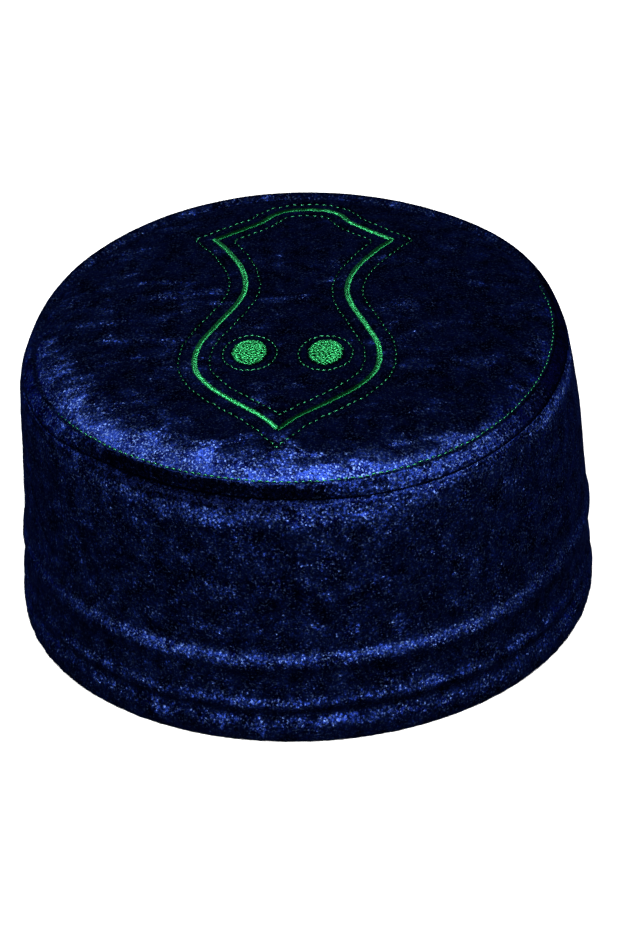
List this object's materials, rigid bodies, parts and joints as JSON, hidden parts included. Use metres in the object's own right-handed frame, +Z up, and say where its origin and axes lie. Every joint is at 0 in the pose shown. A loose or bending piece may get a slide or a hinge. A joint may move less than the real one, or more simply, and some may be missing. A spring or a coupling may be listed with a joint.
{
  "type": "prayer cap",
  "caption": "Round brimless velvet prayer cap: upright side band, low padded crown and an embroidered sandal-sole ornament on top.",
  "frame": {"origin": "middle of the cap's box on the surface that the rim rests on", "axes": "+Z up through the crown, -Y towards the front of the cap, +X to the right seen from the front"},
  "size_m": [0.1901, 0.1902, 0.1028],
  "materials": {
    "band_velvet": "crushed navy velvet, dark on its face with a blue lustre on ridges and folds",
    "crown_velvet": "crushed navy velvet, dark in the middle of the crown and bright where it rolls over",
    "green_thread": "emerald embroidery thread with a silky shine"
  },
  "bodies": {
    "root": {"side_band": "band_velvet", "crown": "crown_velvet", "embroidered_outline": "green_thread", "embroidered_dot_left": "green_thread", "embroidered_dot_right": "green_thread"}
  },
  "joints": []
}
